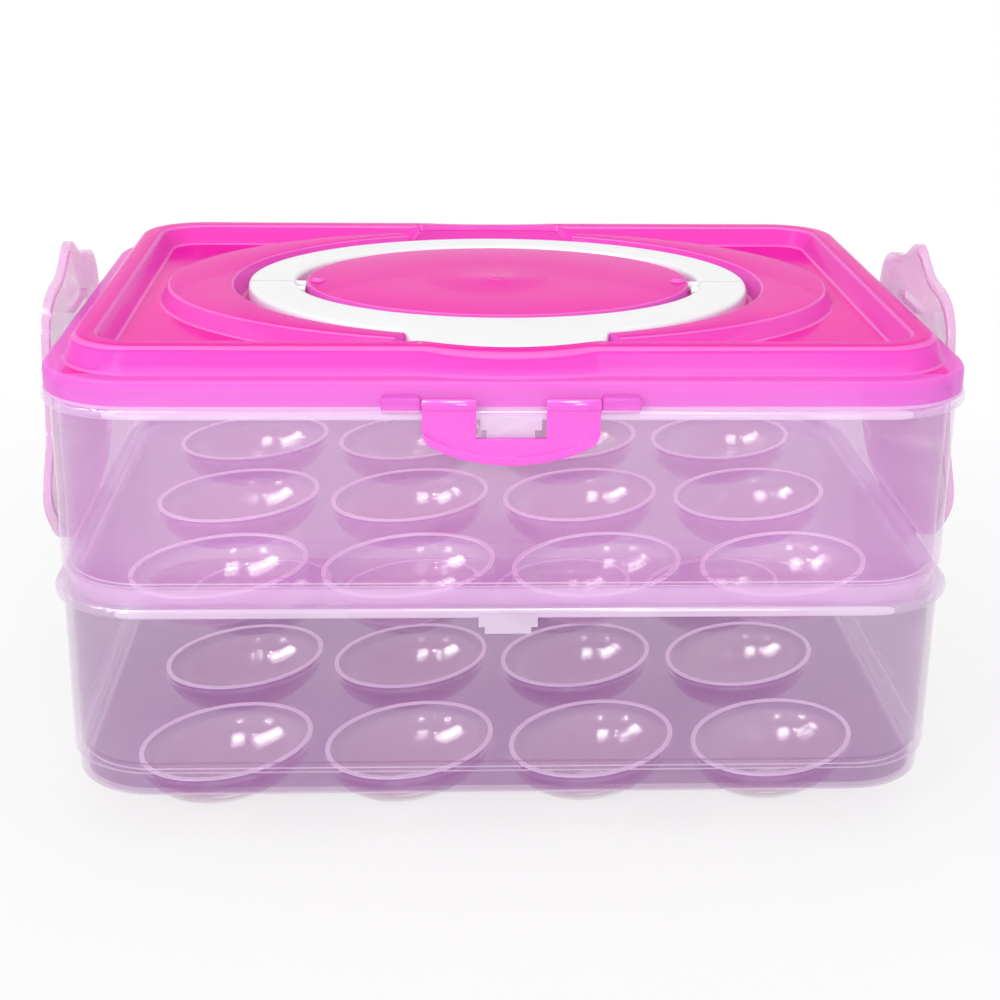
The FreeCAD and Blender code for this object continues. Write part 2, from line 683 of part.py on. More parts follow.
def make_latch(label):
    """The front latch: a curved flap with a window for the catch and two hinge barrels."""
    face = "0 - latch_face - latch_plate - latch_roll"
    depth = "latch_plate + latch_roll"
    bottom = "latch_top - latch_length"
    slab = block("latch_slab", "latch_width", depth, "latch_length - barrel_radius", "0 - latch_width / 2",
                 face, bottom)
    sweep = latch_sweep("latch_sweep_form", face, depth, "latch_top")
    flap = common("latch_flap", slab, sweep)
    doc.recompute()
    half = measure("latch_width / 2")
    top = measure("latch_axis_z")
    corners = [number for number, edge in enumerate(flap.Shape.Edges, start=1)
               if edge.BoundBox.XMax - edge.BoundBox.XMin < TOUCH
               and abs(abs(edge.BoundBox.XMax) - half) < TOUCH
               and edge.BoundBox.ZMax - edge.BoundBox.ZMin < TOUCH and edge.BoundBox.ZMax < top - TOUCH]
    flap = rounded("latch_rounded", flap, "latch_corner", corners)
    front = cut("latch_rolled", flap, latch_sweep("latch_front", face, "latch_roll",
                                                  "latch_top + latch_roll_height"))
    window = block("latch_opening", "latch_window", depth, "latch_length", "0 - latch_window / 2", face,
                   f"{bottom} + latch_bar")
    length = "latch_width / 2 - latch_window / 2"
    barrels = [rod(f"{side}_barrel", "barrel_radius", length, "X", start, "0 - latch_axis_y", "latch_axis_z")
               for side, start in (("left", "0 - latch_width / 2"), ("right", "latch_window / 2"))]
    bore = rod("latch_bore", "pin_radius + bore_clearance", "latch_width", "X", "0 - latch_width / 2",
               "0 - latch_axis_y", "latch_axis_z")
    latch = cut(label, fuse("latch_solid", cut("latch_frame", front, window), *barrels), bore)
    latch.Label = label
    return latch


def latch_sweep(name, face, depth, level):
    """An elliptic cylinder along Y that gives the flap its curved lower edge."""
    curve = doc.addObject("Part::Ellipse", f"{name}_curve")
    curve.Placement.Rotation = FreeCAD.Rotation(FreeCAD.Vector(1, 0, 0), 90)
    bind(curve, MajorRadius="latch_sweep / 2", MinorRadius="latch_length", y=face, z=level)
    return extrude(name, curve, FreeCAD.Vector(0, 1, 0), depth)


def clip_sketch(name, inset):
    """The clip's outline in the YZ plane, drawn in by an inset: a smooth curve closed by the tongue."""
    sketch = doc.addObject("Sketcher::SketchObject", name)
    sketch.Placement.Rotation = FreeCAD.Rotation(FreeCAD.Vector(1, 1, 1), 120)
    bind(sketch, x="clip_face - clip_flange", z="clip_axis_z")
    rear = [(f"(clip_half_length - {inset}) * {along}", f"{inset} + (clip_height - 2 * {inset}) * {up}")
            for along, up in CLIP_POLE_SHARES]
    rear[-1] = (f"clip_tongue / 2 - {inset}", rear[-1][1])
    poles = rear[:0:-1] + [rear[0]] + [(f"0 - ({along})", up) for along, up in rear[1:]]
    points = [FreeCAD.Vector(measure(along), measure(up), 0) for along, up in poles]
    spans = len(poles) - CLIP_CURVE_DEGREE
    ends = CLIP_CURVE_DEGREE + 1
    curve = Part.BSplineCurve()
    curve.buildFromPolesMultsKnots(points, [ends] + [1] * (spans - 1) + [ends], list(range(spans + 1)),
                                   False, CLIP_CURVE_DEGREE)
    sketch.addGeometry(curve, False)
    foot = f"{inset} - clip_web / 2"
    feet = [FreeCAD.Vector(point.x, measure(foot), 0) for point in (points[-1], points[0])]
    for start, end in ((points[-1], feet[0]), (feet[0], feet[1]), (feet[1], points[0])):
        sketch.addGeometry(Part.LineSegment(start, end), False)
    for edge in range(4):
        sketch.addConstraint(Sketcher.Constraint("Coincident", edge, 2, (edge + 1) % 4, 1))
    sketch.addConstraint(Sketcher.Constraint("Vertical", 1))
    sketch.addConstraint(Sketcher.Constraint("Horizontal", 2))
    sketch.addConstraint(Sketcher.Constraint("Vertical", 3))
    hold(sketch, "tongue_foot", "DistanceY", 1, 2, foot)
    for number, (point, (along, up)) in enumerate(zip(points, poles)):
        circle = sketch.addGeometry(Part.Circle(point, FreeCAD.Vector(0, 0, 1), 1), True)
        sketch.addConstraint(Sketcher.Constraint("InternalAlignment:Sketcher::BSplineControlPoint", circle,
                                                 3, 0, number))
        if number == 0:
            first = circle
            sketch.addConstraint(Sketcher.Constraint("Weight", circle, 1.0))
        else:
            sketch.addConstraint(Sketcher.Constraint("Equal", first, circle))
        if point.x:
            hold(sketch, f"along_{number}", "DistanceX", circle, 3, along)
        else:
            sketch.addConstraint(Sketcher.Constraint("PointOnObject", circle, 3, -2))
        hold(sketch, f"up_{number}", "DistanceY", circle, 3, up)
    return sketch


def hold(sketch, key, kind, geometry, point, text):
    """Hold a point of a sketch at a bound distance from the sketch's origin."""
    constraint = Sketcher.Constraint(kind, -1, 1, geometry, point, measure(text))
    sketch.renameConstraint(sketch.addConstraint(constraint), key)
    sketch.setExpression(f"Constraints.{key}", formula(text))


def make_clip(label):
    """The right side clip: flanged plate, hook over the lid's lug, web and hinge barrel."""
    out = FreeCAD.Vector(1, 0, 0)
    slab = extrude("clip_slab", clip_sketch("clip_outline", "0"), out, "clip_flange + clip_plate")
    recess = extrude("clip_recess", clip_sketch("clip_inner_outline", "clip_band"), out, "clip_flange")
    plate = cut("clip_plate_form", slab, recess)
    hook = block("clip_hook", "clip_hook_reach + clip_plate / 2", "clip_hook_length", "clip_hook_height",
                 "clip_face - clip_hook_reach", "0 - clip_hook_length / 2", "lug_top + clip_hook_gap")
    web = block("clip_web_form", "clip_face + clip_plate / 2 - clip_axis_x", "clip_tongue", "clip_web",
                "clip_axis_x", "0 - clip_tongue / 2", "clip_axis_z - clip_web / 2")
    hinge = ("clip_tongue", "Y", "clip_axis_x", "0 - clip_tongue / 2", "clip_axis_z")
    barrel = rod("clip_barrel", "barrel_radius", *hinge)
    bore = rod("clip_bore", "pin_radius + bore_clearance", *hinge)
    clip = cut(label, fuse("clip_solid", plate, hook, web, barrel), bore)
    clip.Label = label
    return clip


def check_and_export(labels):
    """Refuse a broken feature or solid, then write one file for each piece."""
    doc.recompute()
    for item in doc.Objects:
        if "Invalid" in item.State or "Error" in item.State:
            raise ValueError(f"{item.Label} does not recompute: {item.State}")
    os.makedirs("parts", exist_ok=True)
    for label in labels:
        shape = Part.getShape(doc.getObjectsByLabel(label)[0])
        if shape.isNull() or not shape.isValid() or len(shape.Solids) != 1:
            raise ValueError(f"{label} is not one valid solid")
        shape.exportStep(f"parts/{label}.step")


tray = make_tray("lower_tray")
linked("upper_tray", tray, 0, z="tier_pitch")
make_lid("lid")
stub_pins = handle_rods("pin", "0", "0")
for half in ("front", "rear"):
    make_handle(f"{half}_handle_half", half, [stub_pins[half, side] for side in ("left", "right")])
linked("rear_latch", make_latch("front_latch"), 180)
linked("left_side_clip", make_clip("right_side_clip"), 180)
check_and_export(["lower_tray", "upper_tray", "lid", "front_handle_half", "rear_handle_half", "front_latch",
                  "rear_latch", "left_side_clip", "right_side_clip"])
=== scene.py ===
import logging
import math
from dataclasses import dataclass
from enum import Enum
from typing import Any, Iterable, Mapping, NamedTuple, Sequence, Union

import bmesh
import bpy
from mathutils import Matrix, Vector


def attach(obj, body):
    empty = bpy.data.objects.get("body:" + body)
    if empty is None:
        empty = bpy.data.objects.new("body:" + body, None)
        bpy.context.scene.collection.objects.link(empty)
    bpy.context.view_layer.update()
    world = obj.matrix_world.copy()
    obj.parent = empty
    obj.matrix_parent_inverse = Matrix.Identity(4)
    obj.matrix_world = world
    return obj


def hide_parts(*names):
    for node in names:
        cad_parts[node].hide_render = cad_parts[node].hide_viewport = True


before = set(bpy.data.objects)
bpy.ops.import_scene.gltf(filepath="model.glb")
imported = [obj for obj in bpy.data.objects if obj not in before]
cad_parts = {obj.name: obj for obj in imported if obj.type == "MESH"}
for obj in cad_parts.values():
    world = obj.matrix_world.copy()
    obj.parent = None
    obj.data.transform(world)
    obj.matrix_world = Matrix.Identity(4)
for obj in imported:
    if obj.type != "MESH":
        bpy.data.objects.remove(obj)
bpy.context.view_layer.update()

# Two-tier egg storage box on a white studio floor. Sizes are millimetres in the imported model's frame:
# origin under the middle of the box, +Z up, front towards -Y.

LOG = logging.getLogger("egg_storage_box")
MM = 0.001

# Points this close are one, in metres; edges that turn by more than the crease stay sharp
WELD = 2e-7
CREASE = math.radians(34.0)
# Faces that turn by less than this are one flat before its edges are softened
FLAT = math.radians(0.4)
SOFT_EDGE_STEPS = 2
# A rounded corner takes up less than half of either leg
LEG_SHARE = 0.48

Tint = tuple[float, float, float]
Colour = tuple[float, float, float, float]
Feed = Union["Wire", float, Sequence[float]]
Masks = Mapping[str, "Wire"]

WHITE_LIGHT: Colour = (1.0, 1.0, 1.0, 1.0)
NO_LIGHT: Colour = (0.0, 0.0, 0.0, 1.0)


class End(Enum):
    """The front or the rear of the box, as a direction along Y."""

    FRONT = -1
    REAR = 1


class Side(Enum):
    """The left or the right of the box, as a direction along X."""

    LEFT = -1
    RIGHT = 1


def solid(tint: Tint) -> Colour:
    """The tint as a colour socket takes it."""
    return (*tint, 1.0)


@dataclass(frozen=True)
class Wire:
    """A shader socket that takes part in Python sums."""

    bench: "Bench"
    socket: bpy.types.NodeSocket

    def __add__(self, other: Feed) -> "Wire":
        """Sum of two feeds."""
        return self.bench.maths("ADD", self, other)

    def __radd__(self, other: Feed) -> "Wire":
        """Sum of two feeds, number first."""
        return self.bench.maths("ADD", other, self)

    def __sub__(self, other: Feed) -> "Wire":
        """Difference of two feeds."""
        return self.bench.maths("SUBTRACT", self, other)

    def __rsub__(self, other: Feed) -> "Wire":
        """Difference of two feeds, number first."""
        return self.bench.maths("SUBTRACT", other, self)

    def __mul__(self, other: Feed) -> "Wire":
        """Product of two feeds."""
        return self.bench.maths("MULTIPLY", self, other)

    def __rmul__(self, other: Feed) -> "Wire":
        """Product of two feeds, number first."""
        return self.bench.maths("MULTIPLY", other, self)

    def __abs__(self) -> "Wire":
        """The feed without its sign."""
        return self.bench.maths("ABSOLUTE", self, 0.0)

    def __or__(self, other: Feed) -> "Wire":
        """The larger of two feeds."""
        return self.bench.maths("MAXIMUM", self, other)

    def __ror__(self, other: Feed) -> "Wire":
        """The larger of two feeds, number first."""
        return self.bench.maths("MAXIMUM", other, self)


class Bench:
    """A node tree on which a finish is wired up."""

    # The Mix node's colour sockets go by number, because it has others of the same names
    MIX_SHARE, MIX_FIRST, MIX_SECOND, MIX_RESULT = 0, 6, 7, 2

    def __init__(self, tree: bpy.types.NodeTree) -> None:
        """Start from an empty tree.

        Args:
            tree: The node tree of a material or a world.
        """
        self.tree = tree
        tree.nodes.clear()

    def node(self, kind: str, settings: Mapping[str, Any],
             sockets: Mapping[Union[str, int], Feed]) -> bpy.types.Node:
        """Make a node, set it and feed it.

        Args:
            kind: The node's Blender type.
            settings: Its own properties.
            sockets: Its inputs by name or number, each a wire or a constant.

        Returns:
            The new node.
        """
        made = self.tree.nodes.new(kind)
        for key, value in settings.items():
            setattr(made, key, value)
        for key, value in sockets.items():
            if isinstance(value, Wire):
                self.tree.links.new(value.socket, made.inputs[key])
            else:
                made.inputs[key].default_value = value
        return made

    def feed(self, kind: str, settings: Mapping[str, Any], sockets: Mapping[Union[str, int], Feed],
             output: Union[str, int] = 0) -> Wire:
        """Make a node and take one of its outputs.

        Args:
            kind: The node's Blender type.
            settings: Its own properties.
            sockets: Its inputs by name or number.
            output: The output, by name or number.

        Returns:
            The output as a wire.
        """
        return Wire(self, self.node(kind, settings, sockets).outputs[output])

    def maths(self, operation: str, first: Feed, second: Feed, clamp: bool = False) -> Wire:
        """A Math node on two feeds."""
        return self.feed("ShaderNodeMath", {"operation": operation, "use_clamp": clamp},
                         {0: first, 1: second})

    def blend(self, share: Feed, first: Feed, second: Feed) -> Wire:
        """A colour between two colours."""
        return self.feed("ShaderNodeMix", {"data_type": "RGBA"},
                         {self.MIX_SHARE: share, self.MIX_FIRST: first, self.MIX_SECOND: second},
                         self.MIX_RESULT)

    def noise(self, scale: float, detail: float) -> Wire:
        """Even noise in object space, scale in cells per metre."""
        spot = self.feed("ShaderNodeTexCoord", {}, {}, "Object")
        return self.feed("ShaderNodeTexNoise", {}, {"Vector": spot, "Scale": scale, "Detail": detail})

    def place(self, axis: str) -> Wire:
        """Where the surface lies along an axis of the box, in millimetres."""
        spot = self.feed("ShaderNodeTexCoord", {}, {}, "Object")
        return self.feed("ShaderNodeSeparateXYZ", {}, {0: spot}, axis) * (1.0 / MM)

    def facing_up(self) -> Wire:
        """1 where the surface lies level, 0 where it stands upright."""
        normal = self.feed("ShaderNodeNewGeometry", {}, {}, "Normal")
        return abs(self.feed("ShaderNodeSeparateXYZ", {}, {0: normal}, "Z"))

    def grazing(self) -> Wire:
        """How far clear plastic is looked at edge-on.

        Returns:
            0 where it is looked at squarely, rising late to 1 where it is looked at edge-on.
        """
        slant = self.feed("ShaderNodeLayerWeight", {}, {}, "Facing")
        square = slant * slant
        return square * square

    def ramp(self, value: Wire, low: float, high: float) -> Wire:
        """0 below a low mark, 1 above a high one."""
        return self.maths("MULTIPLY", value - low, 1.0 / (high - low), clamp=True)

    def band(self, value: Wire, low: float, high: float, fade: float) -> Wire:
        """1 between two marks, 0 beyond a soft edge on either side."""
        return self.ramp(value, low - fade, low) * (1.0 - self.ramp(value, high, high + fade))


@dataclass(frozen=True)
class MouldedPlastic:
    """A moulded plastic: two close tints, a haze that lets light through and a fine skin."""

    name: str
    tint: Tint
    deep_tint: Tint
    opacity: float
    opacity_swing: float
    roughness: float
    roughness_swing: float
    coat: float
    gloss: float = 0.5
    coat_roughness: float = 0.08
    ior: float = 1.49
    cloud_scale: float = 26.0
    cloud_detail: float = 2.0
    skin_scale: float = 700.0
    skin_detail: float = 3.0
    skin_relief: float = 0.04
    skin_depth: float = 0.2
    noise_middle: float = 0.5

    def masks(self, bench: Bench) -> dict[str, Wire]:
        """Where on the piece the finish changes; here only clouds in the plastic."""
        return {"cloud": bench.noise(self.cloud_scale, self.cloud_detail)}

    def colour(self, bench: Bench, masks: Masks) -> Wire:
        """The tint over the piece, drifting slowly between two shades."""
        return bench.blend(masks["cloud"], solid(self.tint), solid(self.deep_tint))

    def cover(self, masks: Masks) -> Feed:
        """How much the plastic covers.

        Args:
            masks: Where the finish changes.

        Returns:
            A share from 0 for clear to 1, a plain number where it is even.
        """
        if not self.opacity_swing:
            return self.opacity
        return self.opacity + self.opacity_swing * (masks["cloud"] - self.noise_middle)

    def painted_glow(self, bench: Bench, masks: Masks) -> dict[str, Feed]:
        """Sockets for a painted glow along the edges; none here."""
        return {}

    def material(self) -> bpy.types.Material:
        """Wire the finish up.

        Returns:
            A new material of this finish.
        """
        made = bpy.data.materials.new(self.name)
        made.use_nodes = True
        bench = Bench(made.node_tree)
        masks = self.masks(bench)
        skin = bench.noise(self.skin_scale, self.skin_detail)
        relief = bench.feed("ShaderNodeBump", {}, {
            "Strength": self.skin_relief,
            "Distance": self.skin_depth * MM,
            "Height": skin,
        })
        shader = bench.feed("ShaderNodeBsdfPrincipled", {}, {
            "Base Color": self.colour(bench, masks),
            "Roughness": self.roughness + self.roughness_swing * (skin - self.noise_middle),
            "Alpha": self.cover(masks),
            "Normal": relief,
            "Coat Weight": self.coat,
            "Coat Roughness": self.coat_roughness,
            "Specular IOR Level": self.gloss,
            "IOR": self.ior,
            # A painted glow, where the plastic has one
            **self.painted_glow(bench, masks),
        })
        bench.node("ShaderNodeOutputMaterial", {}, {"Surface": shader})
        return made


@dataclass(frozen=True)
class TrayPlastic(MouldedPlastic):
    """Clear tray plastic: thin walls, lighter and pinker cups, painted highlight lines and a painted glow
    along its edges, and a painted sheen where it is looked at edge-on.
    """

    # Height of the tray's own zero above the floor; the other levels count from it
    level: float = 0.0
    # Pale tint for the painted highlight lines, the painted sheen and the painted glow
    painted_highlight_tint: Tint = (0.97, 0.85, 1.0)
    bowl_tint: Tint = (0.92, 0.55, 0.88)
    wall_opacity: float = 0.15
    bowl_opacity: float = 0.2
    # Cover under the painted highlight lines
    painted_highlight_opacity: float = 0.5
    # Strength of the painted glow along the highlight lines
    painted_glow_strength: float = 0.28
    # Cover and shares of the painted sheen where the tray is looked at edge-on
    painted_sheen_cover: float = 0.45
    slant_share: float = 0.7
    wall_slant_share: float = 1.25
    # The wall lies beyond this reach from a smaller rectangle with sharp corners
    corner_x: float = 98.8
    corner_y: float = 65.3
    wall_reach: float = 21.0
    wall_fade: float = 0.5
    bowl_level: float = 12.6
    bowl_fade: float = 0.5
    # Heights and reach of the painted highlight lines on cup lips, steps, foot, rim and catches
    lip_level: float = 14.8
    lip_fade: float = 0.3
    step_level: float = 20.4
    step_height: float = 0.2
    step_fade: float = 0.3
    step_share: float = 0.8
    foot_level: float = 13.5
    foot_fade: float = 0.5
    foot_share: float = 0.6
    rim_level: float = 68.2
    rim_fade: float = 0.3
    rim_share: float = 0.42
    catch_reach: float = 91.6
    catch_fade: float = 0.2
    catch_share: float = 0.7

    def masks(self, bench: Bench) -> dict[str, Wire]:
        """Where on the tray the finish changes.

        Args:
            bench: The node tree.

        Returns:
            Clouds, walls, bowls, the painted highlight lines along edges, and the painted sheen where the
            tray is looked at edge-on.
        """
        across, deep = abs(bench.place("X")), abs(bench.place("Y"))
        height = bench.place("Z") - self.level
        wall = self.wall(bench, across, deep)
        under_deck = 1.0 - bench.ramp(height, self.bowl_level - self.bowl_fade, self.bowl_level)
        # The painted sheen: paler and denser where the tray is looked at edge-on, more on the walls
        share = self.slant_share + (self.wall_slant_share - self.slant_share) * wall
        return {
            **super().masks(bench),
            "wall": wall,
            "bowl": (1.0 - wall) * under_deck,
            "lines": self.lines(bench, wall, height, deep),
            "slant": share * bench.grazing(),
        }

    def wall(self, bench: Bench, across: Wire, deep: Wire) -> Wire:
        """1 on the walls, 0 on deck and cups."""
        out_x, out_y = (across - self.corner_x) | 0.0, (deep - self.corner_y) | 0.0
        return bench.ramp(out_x * out_x + out_y * out_y, self.wall_reach ** 2,
                          (self.wall_reach + self.wall_fade) ** 2)

    def lines(self, bench: Bench, wall: Wire, height: Wire, deep: Wire) -> Wire:
        """Where highlight lines are painted along the edges.

        Args:
            bench: The node tree.
            wall: 1 on the walls.
            height: Height above the tray's own zero.
            deep: Distance from the middle towards front or rear.

        Returns:
            A share from 0 to 1, on cup lips, steps, foot, rim and catches.
        """
        lip = (1.0 - wall) * bench.ramp(height, self.lip_level, self.lip_level + self.lip_fade)
        step = bench.band(height, self.step_level, self.step_level + self.step_height, self.step_fade)
        foot = 1.0 - bench.ramp(height, self.foot_level, self.foot_level + self.foot_fade)
        rim = bench.ramp(height, self.rim_level - self.rim_fade, self.rim_level)
        catch = bench.ramp(deep, self.catch_reach - self.catch_fade, self.catch_reach)
        return (lip | wall * (self.step_share * step | self.foot_share * foot)
                | self.rim_share * rim | self.catch_share * catch)

    def colour(self, bench: Bench, masks: Masks) -> Wire:
        """The tint over the tray, lighter in its bowls, with painted highlights along its edges and a
        painted sheen where it is looked at edge-on.
        """
        tint = bench.blend(masks["bowl"], super().colour(bench, masks), solid(self.bowl_tint))
        # Pale tint where highlight lines and sheen are painted
        return bench.blend(masks["lines"] | masks["slant"], tint, solid(self.painted_highlight_tint))

    def cover(self, masks: Masks) -> Feed:
        """How much the tray covers.

        Args:
            masks: Where the finish changes.

        Returns:
            A share that is small on walls and bowls, larger on the deck and largest under the painted
            highlight lines and sheen.
        """
        thin = ((self.opacity - self.wall_opacity) * masks["wall"]
                + (self.opacity - self.bowl_opacity) * masks["bowl"])
        # More cover where highlight lines and sheen are painted
        painted_light_cover = self.painted_highlight_opacity * masks["lines"] | self.painted_sheen_cover * masks["slant"]
        return super().cover(masks) - thin + painted_light_cover

    def painted_glow(self, bench: Bench, masks: Masks) -> dict[str, Feed]:
        """Sockets for a painted glow: a faint emission of the pale tint along the painted highlight lines.
        """
        return {"Emission Color": bench.blend(masks["lines"], NO_LIGHT, solid(self.painted_highlight_tint)),
                "Emission Strength": self.painted_glow_strength}


@dataclass(frozen=True)
class LidPlastic(MouldedPlastic):
    """Lid plastic: deep pink where it lies level, with painted light: lighter upright faces, highlights on
    rounded edges, a lighter skirt and shelf and a pale skirt edge.
    """

    # Painted light: upright faces take a lighter tint
    painted_side_light_tint: Tint = (1.0, 0.13, 0.74)
    upright_slope: float = 0.25
    level_slope: float = 0.9
    # Painted highlights on the rounded edges between level and upright faces
    painted_round_highlight_tint: Tint = (1.0, 0.34, 0.86)
    round_share: float = 0.55
    round_low_slope: float = 0.64
    round_high_slope: float = 0.90
    round_fade: float = 0.08
    # Painted light: skirt and shelf take a lighter tint
    painted_skirt_light_tint: Tint = (0.92, 0.17, 0.78)
    skirt_level: float = 132.6
    skirt_fade: float = 1.0
    skirt_thinning: float = 0.12
    shelf_share: float = 0.7
    shelf_level: float = 136.3
    shelf_fade: float = 0.9
    shelf_x: float = 117.2
    shelf_y: float = 83.7
    shelf_edge: float = 0.5
    # Painted highlight along the skirt's lower edge
    painted_edge_highlight_tint: Tint = (1.0, 0.70, 0.98)
    edge_share: float = 0.8
    edge_level: float = 127.6
    edge_height: float = 0.9
    edge_fade: float = 0.4

    def masks(self, bench: Bench) -> dict[str, Wire]:
        """Where on the lid the finish changes.

        Args:
            bench: The node tree.

        Returns:
            Clouds, walls, rounded edges, shelf, skirt and the skirt's edge.
        """
        slope, height = bench.facing_up(), bench.place("Z")
        low = 1.0 - bench.ramp(height, self.shelf_level - self.shelf_fade,
                               self.shelf_level + self.shelf_fade)
        across = bench.ramp(abs(bench.place("X")), self.shelf_x - self.shelf_edge,
                            self.shelf_x + self.shelf_edge)
        deep = bench.ramp(abs(bench.place("Y")), self.shelf_y - self.shelf_edge,
                          self.shelf_y + self.shelf_edge)
        return {
            **super().masks(bench),
            "upright": 1.0 - bench.ramp(slope, self.upright_slope, self.level_slope),
            "painted_round_highlights": bench.band(slope, self.round_low_slope, self.round_high_slope, self.round_fade),
            "shelf": low * (across | deep),
            "skirt": 1.0 - bench.ramp(height, self.skirt_level - self.skirt_fade,
                                      self.skirt_level + self.skirt_fade),
            "edge": bench.band(height, self.edge_level - self.edge_height, self.edge_level, self.edge_fade),
        }

    def colour(self, bench: Bench, masks: Masks) -> Wire:
        """The tint over the lid, with light painted on its upright faces, rounded edges, shelf, skirt and
        the skirt's edge.

        Args:
            bench: The node tree.
            masks: Where the finish changes.

        Returns:
            A colour, from the level faces to the edge of the skirt.
        """
        # Painted light on upright faces
        walls = bench.blend(masks["upright"], super().colour(bench, masks), solid(self.painted_side_light_tint))
        # Painted highlights on rounded edges
        sides = bench.blend(self.round_share * masks["painted_round_highlights"], walls, solid(self.painted_round_highlight_tint))
        # Painted light on the skirt and the shelf
        lit = masks["skirt"] | self.shelf_share * masks["shelf"]
        skirt = bench.blend(lit, sides, solid(self.painted_skirt_light_tint))
        # Painted highlight along the skirt's lower edge
        return bench.blend(self.edge_share * masks["edge"], skirt, solid(self.painted_edge_highlight_tint))

    def cover(self, masks: Masks) -> Feed:
        """Thinner on the skirt."""
        return super().cover(masks) - self.skirt_thinning * masks["skirt"]


# One tray plastic in two copies: the lower one darker, painted shade
LOWER_TRAY = TrayPlastic(
    "lower_lavender_painted_shade", tint=(0.37, 0.07, 0.42), deep_tint=(0.32, 0.055, 0.37), opacity=0.40,
    opacity_swing=0.06, roughness=0.12, roughness_swing=0.05, coat=1.0, gloss=1.0, wall_opacity=0.19,
    bowl_opacity=0.38, bowl_tint=(0.64, 0.33, 0.58))
# The upper one paler and pinker, painted pink light from the lid
UPPER_TRAY = TrayPlastic(
    "upper_lavender_painted_pink_light", tint=(0.74, 0.24, 0.80), deep_tint=(0.67, 0.21, 0.75), opacity=0.29,
    opacity_swing=0.06, roughness=0.12, roughness_swing=0.05, coat=1.0, gloss=1.0, level=55.9,
    bowl_opacity=0.28, foot_level=19.6, foot_share=0.45)
LID_PINK = LidPlastic(
    "pink", tint=(1.0, 0.012, 0.49), deep_tint=(0.96, 0.009, 0.45), opacity=0.82, opacity_swing=0.06,
    roughness=0.13, roughness_swing=0.05, coat=0.0, gloss=0.035)
LATCH_PINK = MouldedPlastic(
    "latch_pink", tint=(1.0, 0.13, 0.80), deep_tint=(1.0, 0.10, 0.74), opacity=0.86, opacity_swing=0.06,
    roughness=0.14, roughness_swing=0.06, coat=0.8)
WHITE = MouldedPlastic(
    "white", tint=(0.90, 0.90, 0.91), deep_tint=(0.86, 0.86, 0.88), opacity=1.0, opacity_swing=0.0,
    roughness=0.34, roughness_swing=0.10, coat=0.2)
CLEAR = MouldedPlastic(
    "clear", tint=(0.94, 0.30, 0.82), deep_tint=(0.84, 0.25, 0.74), opacity=0.42, opacity_swing=0.10,
    roughness=0.14, roughness_swing=0.08, coat=0.3)


class Skin:
    """A mesh under construction, as rows of points in millimetres."""

    ROD_SIDES = 32
    BRICK_CORNER_STEPS = 4

    def __init__(self) -> None:
        """Start with nothing."""
        self.points: list[Vector] = []
        self.faces: list[list[int]] = []

    def row(self, points: Iterable[Vector]) -> list[int]:
        """Add a row of points.

        Args:
            points: Places in millimetres.

        Returns:
            The numbers of the points.
        """
        start = len(self.points)
        self.points.extend(points)
        return list(range(start, len(self.points)))

    def cap(self, ring: Sequence[int]) -> None:
        """Close a ring by one face."""
        self.faces.append(list(ring))

    def tube(self, rings: Sequence[Sequence[int]], capped: bool = True) -> None:
        """Join rings of the same length one after the other.

        Args:
            rings: The numbers of each ring's points.
            capped: Whether the first and the last ring are closed.
        """
        for first, second in zip(rings, rings[1:]):
            for index in range(len(first)):
                after = (index + 1) % len(first)
                self.faces.append([first[index], first[after], second[after], second[index]])
        if capped:
            self.cap(rings[0])
            self.cap(rings[-1])

    def rod(self, start: Vector, end: Vector, radius: float, edge: float) -> None:
        """Add a rod with softened ends.

        Args:
            start: Middle of one end.
            end: Middle of the other end.
            radius: Its radius.
            edge: How far the ends are softened.
        """
        along = (end - start).normalized()
        across = along.orthogonal().normalized()
        other = along.cross(across)
        turns = [2.0 * math.pi * step / self.ROD_SIDES for step in range(self.ROD_SIDES)]
        rings = []
        for middle, size in ((start, radius - edge), (start + along * edge, radius),
                             (end - along * edge, radius), (end, radius - edge)):
            rings.append(self.row(middle + (across * math.cos(turn) + other * math.sin(turn)) * size
                                  for turn in turns))
        self.tube(rings)

    def brick(self, low: Vector, high: Vector, edge: float) -> None:
        """Add a block with softened edges.

        Args:
            low: Its lowest corner.
            high: Its highest corner.
            edge: How far the edges are softened.
        """
        middle, half = (low + high) / 2.0, (high - low) / 2.0
        rings = []
        for level, inset in ((-half.z, edge), (-half.z + edge, 0.0), (half.z - edge, 0.0), (half.z, edge)):
            ring = box_outline(half.x - inset, half.y - inset, edge, self.BRICK_CORNER_STEPS)
            rings.append(self.row(middle + Vector((point.x, point.y, level)) for point in ring))
        self.tube(rings)

    def to_object(self, name: str, finish: bpy.types.Material) -> bpy.types.Object:
        """Weld the rows into an object with smooth faces and creases at its corners.

        Args:
            name: The piece's name.
            finish: Its material.

        Returns:
            The new piece, in the scene.
        """
        mesh = bpy.data.meshes.new(name)
        mesh.from_pydata([point * MM for point in self.points], [], self.faces)
        shape = bmesh.new()
        shape.from_mesh(mesh)
        bmesh.ops.remove_doubles(shape, verts=shape.verts, dist=WELD)
        bmesh.ops.dissolve_degenerate(shape, edges=shape.edges, dist=WELD)
        bmesh.ops.recalc_face_normals(shape, faces=shape.faces)
        for face in shape.faces:
            face.smooth = True
        for edge in shape.edges:
            edge.smooth = edge.calc_face_angle(0.0) < CREASE
        shape.to_mesh(mesh)
        shape.free()
        mesh.materials.append(finish)
        piece = bpy.data.objects.new(name, mesh)
        bpy.context.scene.collection.objects.link(piece)
        return piece


